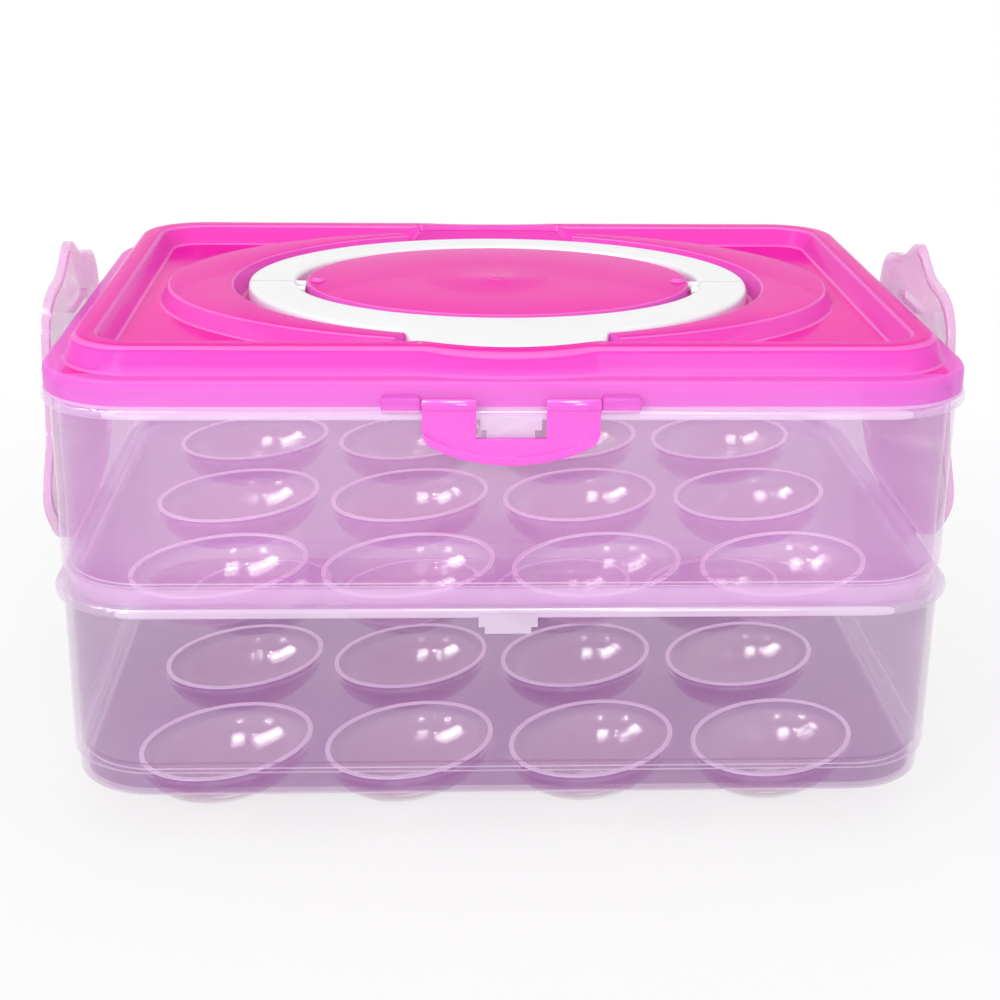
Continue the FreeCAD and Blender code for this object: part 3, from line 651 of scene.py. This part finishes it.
def box_outline(half_x: float, half_y: float, corner: float, per_corner: int, per_side: int = 1,
                per_end: int = 1) -> list[Vector]:
    """Points round a rounded rectangle, counter-clockwise from its front left.

    Args:
        half_x: Half its width.
        half_y: Half its depth.
        corner: Its corner radius.
        per_corner: Steps round a corner.
        per_side: Steps along the front and the rear.
        per_end: Steps along the left and the right.

    Returns:
        The points, at level 0.
    """
    quarter = math.pi / 2.0
    in_x, in_y = half_x - corner, half_y - corner
    corners = ((in_x, -in_y, -quarter, per_side), (in_x, in_y, 0.0, per_end),
               (-in_x, in_y, quarter, per_side), (-in_x, -in_y, math.pi, per_end))
    points: list[Vector] = []
    last = Vector((-in_x, -half_y, 0.0))
    for x, y, first, steps in corners:
        turns = [first + quarter * step / per_corner for step in range(per_corner + 1)]
        arc = [Vector((x + corner * math.cos(turn), y + corner * math.sin(turn), 0.0)) for turn in turns]
        points += [last.lerp(arc[0], step / steps) for step in range(steps)]
        points += arc[:-1]
        last = arc[-1]
    return points


def ray_to_box(ray: Vector, half_x: float, half_y: float, corner: float) -> float:
    """Follow a ray from the middle of a rounded rectangle to its outline.

    Args:
        ray: A level direction of length 1.
        half_x: Half the rectangle's width.
        half_y: Half its depth.
        corner: Its corner radius.

    Returns:
        The distance along the ray.
    """
    along_x, along_y = abs(ray.x), abs(ray.y)
    in_x, in_y = half_x - corner, half_y - corner
    if along_x * in_y >= along_y * half_x:
        return half_x / along_x
    if along_y * in_x >= along_x * half_y:
        return half_y / along_y
    middle = along_x * in_x + along_y * in_y
    return middle + math.sqrt(max(middle ** 2 - in_x ** 2 - in_y ** 2 + corner ** 2, 0.0))


def ray_to_oval(ray: Vector, half_x: float, half_y: float, centre_y: float = 0.0) -> float:
    """Follow a ray from the origin to the far side of an oval.

    Args:
        ray: A level direction of length 1.
        half_x: Half the oval's width.
        half_y: Half its depth.
        centre_y: Where its middle lies along Y.

    Returns:
        The distance along the ray, or 0 where it passes by.
    """
    square = (ray.x / half_x) ** 2 + (ray.y / half_y) ** 2
    linear = -2.0 * ray.y * centre_y / half_y ** 2
    rest = (centre_y / half_y) ** 2 - 1.0
    under = linear ** 2 - 4.0 * square * rest
    if under < 0.0:
        return 0.0
    return max((math.sqrt(under) - linear) / (2.0 * square), 0.0)


def soften_path(points: Sequence[Vector], radii: Sequence[float], steps: int) -> list[Vector]:
    """Round the corners of an open path.

    Args:
        points: The path's corners.
        radii: How far each corner is rounded; the first and the last are not.
        steps: Steps round a corner.

    Returns:
        The rounded path, with the same number of points for every path of as many corners.
    """
    path = [points[0]]
    for before, corner, after, radius in zip(points, points[1:], points[2:], radii[1:]):
        back, on = before - corner, after - corner
        reach = min(radius, LEG_SHARE * back.length, LEG_SHARE * on.length)
        start = corner + back.normalized() * reach
        end = corner + on.normalized() * reach
        for step in range(steps + 1):
            share = step / steps
            path.append(start.lerp(corner, share).lerp(corner.lerp(end, share), share))
    path.append(points[-1])
    return path


def carry_over(node: str, finish: bpy.types.Material, edge: float = 0.0) -> None:
    """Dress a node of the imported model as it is.

    Args:
        node: The node's name.
        finish: Its material.
        edge: How far its sharp edges are softened, in millimetres.
    """
    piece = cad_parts[node]
    piece.data.materials.clear()
    piece.data.materials.append(finish)
    for face in piece.data.polygons:
        face.use_smooth = True
    weld = piece.modifiers.new("weld", "WELD")
    weld.merge_threshold = WELD
    if edge:
        flats = piece.modifiers.new("flats", "DECIMATE")
        flats.decimate_type = "DISSOLVE"
        flats.angle_limit = FLAT
        soft = piece.modifiers.new("soft_edges", "BEVEL")
        soft.width = edge * MM
        soft.segments = SOFT_EDGE_STEPS
        soft.limit_method = "ANGLE"
        soft.angle_limit = CREASE
    split = piece.modifiers.new("creases", "EDGE_SPLIT")
    split.split_angle = CREASE
    LOG.info("%s carried over from the packed model", node)


@dataclass
class TrayStack:
    """The two stacked trays with their cups."""

    lower: str = "lower_tray"
    upper: str = "upper_tray"

    def dress(self, lower_finish: bpy.types.Material, upper_finish: bpy.types.Material) -> None:
        """Give both trays their plastic; the upper one's paler, pinker tint is painted pink light from the
        lid, the lower one's darker tint painted shade.
        """
        carry_over(self.lower, lower_finish)
        carry_over(self.upper, upper_finish)


class Bend(NamedTuple):
    """A corner of the lid's section: distance from the middle, level, and how far it is rounded."""

    distance: float
    level: float
    soft: float = 0.0


@dataclass
class Lid:
    """The pink lid: skirt, shelf, raised border, sunk panel, island, handle well and disc."""

    half_x: float = 125.2
    half_y: float = 91.7
    corner: float = 26.4
    base: float = 126.9
    shelf: float = 134.5
    shelf_soft: float = 2.4
    wall: float = 1.8
    inside_soft: float = 0.6
    lip_depth: float = 2.0
    lip_inset: float = 2.7
    lip_wall: float = 1.5
    lip_soft: float = 0.3
    bore_soft: float = 1.0
    foot_inset: float = 5.8
    foot_soft: float = 1.2
    top: float = 141.7
    crest_lean: float = 2.6
    crest_soft: float = 2.2
    border: float = 6.3
    border_soft: float = 1.2
    panel: float = 135.5
    panel_lean: float = 3.3
    panel_soft: float = 0.9
    island: float = 140.8
    island_half_x: float = 99.5
    island_half_y: float = 74.0
    island_lean_x: float = 2.4
    island_lean_y: float = 1.2
    island_soft: float = 1.1
    floor: float = 134.2
    well_half_x: float = 80.0
    well_half_y: float = 68.9
    well_lean: float = 2.0
    well_soft: float = 1.0
    well_foot_soft: float = 1.6
    disc_half_x: float = 58.1
    disc_half_y: float = 45.3
    disc_soft: float = 0.9
    disc_foot_soft: float = 0.7
    disc_ring_share: float = 0.5
    disc_ring_soft: float = 1.0
    scoop_half_x: float = 30.0
    scoop_half_y: float = 11.0
    scoop_centre: float = 70.5
    bulge_half_x: float = 42.0
    bulge_half_y: float = 18.5
    bulge_lean: float = 3.0
    bulge_drop: float = 1.2
    gate_radius: float = 2.6
    gate_rise: float = 0.35
    gate_soft: float = 0.4
    gate_foot_soft: float = 0.3
    # How the wall's thickness moves the inside: in or out, from the border's foot back to the disc's edge
    inside_shifts: tuple[float, ...] = (-1.0, -1.0, 1.0, 1.0, -1.0, -1.0, 1.0, 1.0, -1.0, -1.0)
    rays_along: int = 150
    rays_across: int = 70
    rays_round: int = 16
    corner_steps: int = 4

    def outer_path(self, ray: Vector) -> list[Bend]:
        """The lid's outside along a ray from its middle.

        Args:
            ray: A level direction of length 1.

        Returns:
            Its corners, from the gate mark to the skirt's foot.
        """
        def box(inset: float) -> float:
            """Where the ray meets the lid's outline, moved in."""
            return ray_to_box(ray, self.half_x - inset, self.half_y - inset, self.corner - inset)

        def ends(half_x: float, half_y: float) -> float:
            """Where the ray leaves an oval at the front or the rear."""
            return max(ray_to_oval(ray, half_x, half_y, end.value * self.scoop_centre) for end in End)

        inset = self.foot_inset
        foot = max(box(inset), ends(self.bulge_half_x, self.bulge_half_y))
        inset += self.crest_lean
        bulge = ends(self.bulge_half_x - self.bulge_lean, self.bulge_half_y - self.bulge_lean)
        crest = max(box(inset), bulge)
        sink = min(max((bulge - box(inset)) / self.bulge_lean, 0.0), 1.0)
        crest_level = self.top - self.bulge_drop * sink
        inset += self.border
        border = box(inset)
        inset += self.panel_lean
        panel, panel_level = box(inset), self.panel
        island = ray_to_oval(ray, self.island_half_x, self.island_half_y)
        island_foot = ray_to_oval(ray, self.island_half_x + self.island_lean_x,
                                  self.island_half_y + self.island_lean_y)
        # Where the island reaches into the border, the two slopes meet in a groove
        if island_foot > panel:
            fall = (self.island - self.panel) / (island_foot - island)
            rise = (self.top - self.panel) / (border - panel)
            groove = (self.island - self.panel + fall * island + rise * panel) / (fall + rise)
            panel_level = self.island - fall * (groove - island)
            island_foot = panel = groove
        well = max(ray_to_oval(ray, self.well_half_x, self.well_half_y),
                   ends(self.scoop_half_x, self.scoop_half_y))
        lean = self.well_lean
        well_foot = max(ray_to_oval(ray, self.well_half_x - lean, self.well_half_y - lean),
                        ends(self.scoop_half_x - lean, self.scoop_half_y - lean))
        ground = [Bend(0.0, self.island), Bend(island, self.island, self.island_soft),
                  Bend(island_foot, panel_level, self.panel_soft), Bend(panel, panel_level, self.panel_soft),
                  Bend(border, self.top, self.border_soft), Bend(crest, crest_level, self.crest_soft)]
        well_level = self.island
        for near, far in zip(ground, ground[1:]):
            if near.distance <= well < far.distance:
                climb, run = far.level - near.level, far.distance - near.distance
                well_level = near.level + climb * (well - near.distance) / run
        brim = Bend(well, well_level, self.well_soft)
        disc = ray_to_oval(ray, self.disc_half_x, self.disc_half_y)
        gate_level = self.island + self.gate_rise
        return [Bend(0.0, gate_level), Bend(self.gate_radius, gate_level, self.gate_soft),
                Bend(self.gate_radius, self.island, self.gate_foot_soft),
                Bend(self.disc_ring_share * disc, self.island, self.disc_ring_soft),
                Bend(disc, self.island, self.disc_soft), Bend(disc, self.floor, self.disc_foot_soft),
                Bend(well_foot, self.floor, self.well_foot_soft), brim,
                *(bend if bend.distance > well else brim for bend in ground[1:]),
                Bend(foot, self.shelf, self.foot_soft), Bend(box(0.0), self.shelf, self.shelf_soft),
                Bend(box(0.0), self.base)]

    def inner_path(self, ray: Vector, outer: Sequence[Bend]) -> list[Bend]:
        """The lid's inside along a ray.

        Args:
            ray: A level direction of length 1.
            outer: The outside along the same ray.

        Returns:
            Its corners, from the plug lip back to the middle.
        """
        inset = self.lip_inset
        lip = ray_to_box(ray, self.half_x - inset, self.half_y - inset, self.corner - inset)
        bore, tip = lip - self.lip_wall, self.base - self.lip_depth
        path = [Bend(lip, self.base), Bend(lip, tip, self.lip_soft), Bend(bore, tip, self.lip_soft),
                Bend(bore, self.shelf - self.wall, self.bore_soft)]
        for bend, shift in zip(outer[-3:3:-1], self.inside_shifts):
            distance = min(max(bend.distance + shift * self.wall, 0.0), path[-1].distance)
            path.append(Bend(distance, bend.level - self.wall, self.inside_soft))
        path.append(Bend(0.0, self.island - self.wall))
        return path

    def build(self, finish: bpy.types.Material) -> None:
        """Build the lid's shell ray by ray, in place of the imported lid.

        Args:
            finish: Its material.
        """
        outline = box_outline(self.half_x, self.half_y, self.corner, self.rays_round, self.rays_along,
                              self.rays_across)
        columns = []
        for ray in (point.normalized() for point in outline):
            outer = self.outer_path(ray)
            path = outer + self.inner_path(ray, outer)
            corners = [Vector((bend.distance, 0.0, bend.level)) for bend in path]
            soft = soften_path(corners, [bend.soft for bend in path], self.corner_steps)
            columns.append([Vector((ray.x * spot.x, ray.y * spot.x, spot.z)) for spot in soft])
        skin = Skin()
        skin.tube([skin.row(ring) for ring in zip(*columns)], capped=False)
        shell = skin.to_object("lid_shell", finish)
        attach(shell, "lid")
        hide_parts("lid")
        LOG.info("lid shell with %d faces", len(shell.data.polygons))


@dataclass
class LidFittings:
    """What is moulded on the lid: latch pads and pins, ledges for the side clips, handle knuckles."""

    pad_inner: float = 23.5
    pad_outer: float = 33.7
    pad_low: float = 126.9
    pad_high: float = 131.1
    pad_root: float = 90.2
    pad_face: float = 95.3
    pin_y: float = 94.175
    pin_z: float = 129.0
    pin_radius: float = 1.2
    pin_end: float = 16.0
    pin_edge: float = 0.3
    lug_half: float = 10.0
    lug_low: float = 129.7
    lug_high: float = 132.3
    lug_root: float = 123.6
    lug_face: float = 126.2
    soft_edge: float = 0.6
    knuckle_x: float = 54.6
    knuckle_y: float = -3.4
    knuckle_root: float = 139.9
    knuckle_top: float = 141.9
    knuckle_radius: float = 2.3
    knuckle_edge: float = 1.1

    def build(self, finish: bpy.types.Material) -> None:
        """Build them as one piece that rides on the lid.

        Args:
            finish: Their material.
        """
        skin = Skin()
        for side in Side:
            spots = sorted((side.value * self.lug_root, side.value * self.lug_face))
            skin.brick(Vector((spots[0], -self.lug_half, self.lug_low)),
                       Vector((spots[1], self.lug_half, self.lug_high)), self.soft_edge)
            knuckle = Vector((side.value * self.knuckle_x, self.knuckle_y, 0.0))
            skin.rod(knuckle + Vector((0.0, 0.0, self.knuckle_root)),
                     knuckle + Vector((0.0, 0.0, self.knuckle_top)), self.knuckle_radius, self.knuckle_edge)
            for end in End:
                across = sorted((side.value * self.pad_inner, side.value * self.pad_outer))
                deep = sorted((end.value * self.pad_root, end.value * self.pad_face))
                skin.brick(Vector((across[0], deep[0], self.pad_low)),
                           Vector((across[1], deep[1], self.pad_high)), self.soft_edge)
                axis = Vector((0.0, end.value * self.pin_y, self.pin_z))
                skin.rod(axis + Vector((side.value * self.pin_end, 0.0, 0.0)),
                         axis + Vector((side.value * self.pad_inner, 0.0, 0.0)),
                         self.pin_radius, self.pin_edge)
        piece = skin.to_object("lid_fittings", finish)
        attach(piece, "lid")
        LOG.info("lid fittings with %d faces", len(piece.data.polygons))


@dataclass
class FoldingHandle:
    """The white handle: two half rings that fold into the lid's well."""

    hole_half_x: float = 61.2
    hole_half_y: float = 47.5
    half_x: float = 75.5
    front_half_y: float = 67.0
    rear_half_y: float = 61.0
    grip_half_x: float = 28.0
    grip_half_y: float = 9.0
    grip_centre: float = -70.5
    base: float = 136.3
    top: float = 140.8
    front_split: float = -3.9
    rear_split: float = -2.9
    front_axis: float = -6.8
    rear_axis: float = 0.0
    axis_level: float = 138.55
    pin_radius: float = 1.5
    pin_tip: float = 58.2
    pin_root: float = 63.2
    pin_edge: float = 0.05
    edge: float = 1.7
    under_edge: float = 0.6
    edge_steps: int = 6
    stations: int = 180
    blend_passes: int = 5

    def outline(self, end: End) -> tuple[list[Vector], list[Vector]]:
        """The half ring's inner and outer edge in plan.

        Args:
            end: Which half.

        Returns:
            Points along the inner edge and, matching them, along the outer edge.
        """
        split = self.front_split if end is End.FRONT else self.rear_split
        half_y = self.front_half_y if end is End.FRONT else self.rear_half_y

        def arc(size_x: float, size_y: float) -> list[Vector]:
            """Follow the half of an oval beyond the split.

            Args:
                size_x: Half the oval's width.
                size_y: Half its depth.

            Returns:
                Points along it.
            """
            start = math.asin(split / size_y)
            stop = end.value * math.pi - start
            turns = [start + (stop - start) * step / self.stations for step in range(self.stations + 1)]
            return [Vector((size_x * math.cos(turn), size_y * math.sin(turn), 0.0)) for turn in turns]

        inner, outer = arc(self.hole_half_x, self.hole_half_y), arc(self.half_x, half_y)
        if end is End.FRONT:
            reach = [max(point.length, ray_to_oval(point.normalized(), self.grip_half_x, self.grip_half_y,
                                                   self.grip_centre)) for point in outer]
            # Each pass averages neighbours, so that the grip tab runs smoothly into the ring
            for _ in range(self.blend_passes):
                reach = [reach[0]] + [(before + 2.0 * here + after) / 4.0 for before, here, after
                                      in zip(reach, reach[1:], reach[2:])] + [reach[-1]]
            outer = [point.normalized() * length for point, length in zip(outer, reach)]
        return inner, outer

    def build(self, end: End, finish: bpy.types.Material) -> None:
        """Build one half ring with its two stub pins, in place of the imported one.

        Args:
            end: Which half.
            finish: Its material.
        """
        skin = Skin()
        rings = []
        low, high = Vector((0.0, 0.0, self.base)), Vector((0.0, 0.0, self.top))
        radii = [0.0, self.under_edge, self.edge, self.edge, self.under_edge, 0.0]
        for near, far in zip(*self.outline(end)):
            middle = near.lerp(far, 0.5)
            corners = [middle + low, near + low, near + high, far + high, far + low, middle + low]
            rings.append(skin.row(soften_path(corners, radii, self.edge_steps)[:-1]))
        skin.tube(rings)
        axis = self.front_axis if end is End.FRONT else self.rear_axis
        for side in Side:
            skin.rod(Vector((side.value * self.pin_root, axis, self.axis_level)),
                     Vector((side.value * self.pin_tip, axis, self.axis_level)),
                     self.pin_radius, self.pin_edge)
        node = f"{end.name.lower()}_handle_half"
        piece = skin.to_object(f"{node}_moulding", finish)
        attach(piece, node)
        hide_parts(node)
        LOG.info("%s with %d faces", node, len(piece.data.polygons))


@dataclass
class Latches:
    """The front and the rear latch flap."""

    edge: float = 0.45

    def dress(self, finish: bpy.types.Material) -> None:
        """Give both flaps their plastic."""
        for end in End:
            carry_over(f"{end.name.lower()}_latch", finish, self.edge)


@dataclass
class SideClips:
    """The tall clear clips on both sides."""

    edge: float = 0.3

    def dress(self, finish: bpy.types.Material) -> None:
        """Give both clips their plastic."""
        for side in Side:
            carry_over(f"{side.name.lower()}_side_clip", finish, self.edge)


@dataclass(frozen=True)
class SoftBox:
    """A lamp of the studio, turned to the middle of the box; power in watts."""

    name: str
    place: tuple[float, float, float]
    width: float
    height: float
    power: float
    # Shows in gloss alone, also on the cups inside the box, and lights no surface
    gloss_only: bool = False
    aim: tuple[float, float, float] = (0.0, 0.0, 90.0)

    def hang(self, screens: bpy.types.Collection) -> None:
        """Hang the lamp.

        Args:
            screens: All that shades a lamp that shows in gloss alone.
        """
        lamp = bpy.data.lights.new(self.name, "AREA")
        lamp.shape = "RECTANGLE"
        lamp.size, lamp.size_y = self.width * MM, self.height * MM
        lamp.energy = self.power
        rig = bpy.data.objects.new(self.name, lamp)
        place = Vector(self.place)
        turn = (Vector(self.aim) - place).to_track_quat("-Z", "Y").to_matrix().to_4x4()
        rig.matrix_world = Matrix.Translation(place * MM) @ turn
        if self.gloss_only:
            rig.visible_diffuse = False
            rig.light_linking.blocker_collection = screens
        bpy.context.scene.collection.objects.link(rig)


LAMPS = (
    SoftBox("left_window", (-911.0, -1302.0, 935.0), 350.0, 500.0, 9.3),
    SoftBox("right_window", (330.0, -1550.0, 935.0), 250.0, 400.0, 5.3),
    SoftBox("roof", (0.0, 100.0, 1300.0), 900.0, 700.0, 2.6),
    SoftBox("bulb", (-250.0, -1430.0, 770.0), 30.0, 30.0, 0.34),
    SoftBox("left_pane", (-800.0, -240.0, 1330.0), 480.0, 1000.0, 28.0, gloss_only=True),
    SoftBox("roof_pane", (90.0, -390.0, 1520.0), 300.0, 500.0, 8.0, gloss_only=True),
    SoftBox("spark", (-300.0, -390.0, 1500.0), 30.0, 70.0, 1.3, gloss_only=True),
)


@dataclass
class Studio:
    """White floor and surroundings, soft boxes and the photograph's camera."""

    lamps: tuple[SoftBox, ...] = LAMPS
    ambient: float = 0.62
    floor_half: float = 6000.0
    floor_tint: Tint = (0.9, 0.9, 0.9)
    floor_glow: float = 0.72
    shadow_reach: float = 420.0
    clear_layers: int = 64
    camera_place: tuple[float, float, float] = (-22.5, -540.5, 264.3)
    camera_down: float = 19.85
    camera_turn: float = 2.54
    camera_roll: float = 0.72
    lens: float = 65.0
    sensor: float = 36.0
    nearest: float = 10.0

    def seen(self, bench: Bench) -> Wire:
        """1 for rays that show the background: straight, mirrored or through clear plastic."""
        straight, mirrored, through = (
            bench.feed("ShaderNodeLightPath", {}, {}, f"Is {kind} Ray")
            for kind in ("Camera", "Glossy", "Transmission"))
        return straight | mirrored | through

    def lay_floor(self) -> bpy.types.Object:
        """Lay the floor: white to the eye, with a soft shadow left on it.

        Returns:
            The floor.
        """
        made = bpy.data.materials.new("studio_floor")
        made.use_nodes = True
        bench = Bench(made.node_tree)
        matt = bench.feed("ShaderNodeBsdfDiffuse", {}, {"Color": solid(self.floor_tint)})
        glow = bench.feed("ShaderNodeEmission", {}, {"Color": WHITE_LIGHT, "Strength": 1.0})
        across, deep = bench.place("X"), bench.place("Y")
        away = bench.ramp(across * across + deep * deep, 0.0, self.shadow_reach ** 2)
        share = (self.floor_glow + (1.0 - self.floor_glow) * away) * self.seen(bench)
        mixed = bench.feed("ShaderNodeMixShader", {}, {0: share, 1: matt, 2: glow})
        bench.node("ShaderNodeOutputMaterial", {}, {"Surface": mixed})
        half = self.floor_half
        skin = Skin()
        skin.cap(skin.row(Vector((x, y, 0.0)) for x, y
                          in ((-half, -half), (half, -half), (half, half), (-half, half))))
        floor = skin.to_object("studio_floor", made)
        return floor

    def light(self, floor: bpy.types.Object) -> None:
        """Set the surroundings and hang the lamps.

        Args:
            floor: The floor, which shades the lamps that show in gloss alone.
        """
        world = bpy.data.worlds.new("studio")
        world.use_nodes = True
        bpy.context.scene.world = world
        bench = Bench(world.node_tree)
        strength = self.ambient + (1.0 - self.ambient) * self.seen(bench)
        sky = bench.feed("ShaderNodeBackground", {}, {"Color": WHITE_LIGHT, "Strength": strength})
        bench.node("ShaderNodeOutputWorld", {}, {"Surface": sky})
        screens = bpy.data.collections.new("light_screens")
        screens.objects.link(floor)
        for lamp in self.lamps:
            lamp.hang(screens)

    def stand_camera(self) -> None:
        """Stand the camera where the photograph was taken from."""
        lens = bpy.data.cameras.new("photo_camera")
        lens.lens, lens.sensor_width = self.lens, self.sensor
        lens.clip_start = self.nearest * MM
        camera = bpy.data.objects.new("photo_camera", lens)
        turn = Matrix.Rotation(-math.radians(self.camera_turn), 4, "Z")
        tilt = Matrix.Rotation(math.pi / 2.0 - math.radians(self.camera_down), 4, "X")
        roll = Matrix.Rotation(math.radians(self.camera_roll), 4, "Z")
        camera.matrix_world = Matrix.Translation(Vector(self.camera_place) * MM) @ turn @ tilt @ roll
        bpy.context.scene.collection.objects.link(camera)
        bpy.context.scene.camera = camera

    def build(self) -> None:
        """Set the whole studio up."""
        scene = bpy.context.scene
        scene.view_settings.view_transform = "Standard"
        scene.cycles.transparent_max_bounces = self.clear_layers
        self.light(self.lay_floor())
        self.stand_camera()
        LOG.info("studio set")


def main() -> None:
    """Build and dress every piece, then the studio."""
    logging.basicConfig(level=logging.INFO, format="%(message)s")
    TrayStack().dress(LOWER_TRAY.material(), UPPER_TRAY.material())
    pink = LID_PINK.material()
    Lid().build(pink)
    LidFittings().build(pink)
    handle, white = FoldingHandle(), WHITE.material()
    for end in End:
        handle.build(end, white)
    Latches().dress(LATCH_PINK.material())
    SideClips().dress(CLEAR.material())
    Studio().build()


if __name__ == "__main__":
    main()
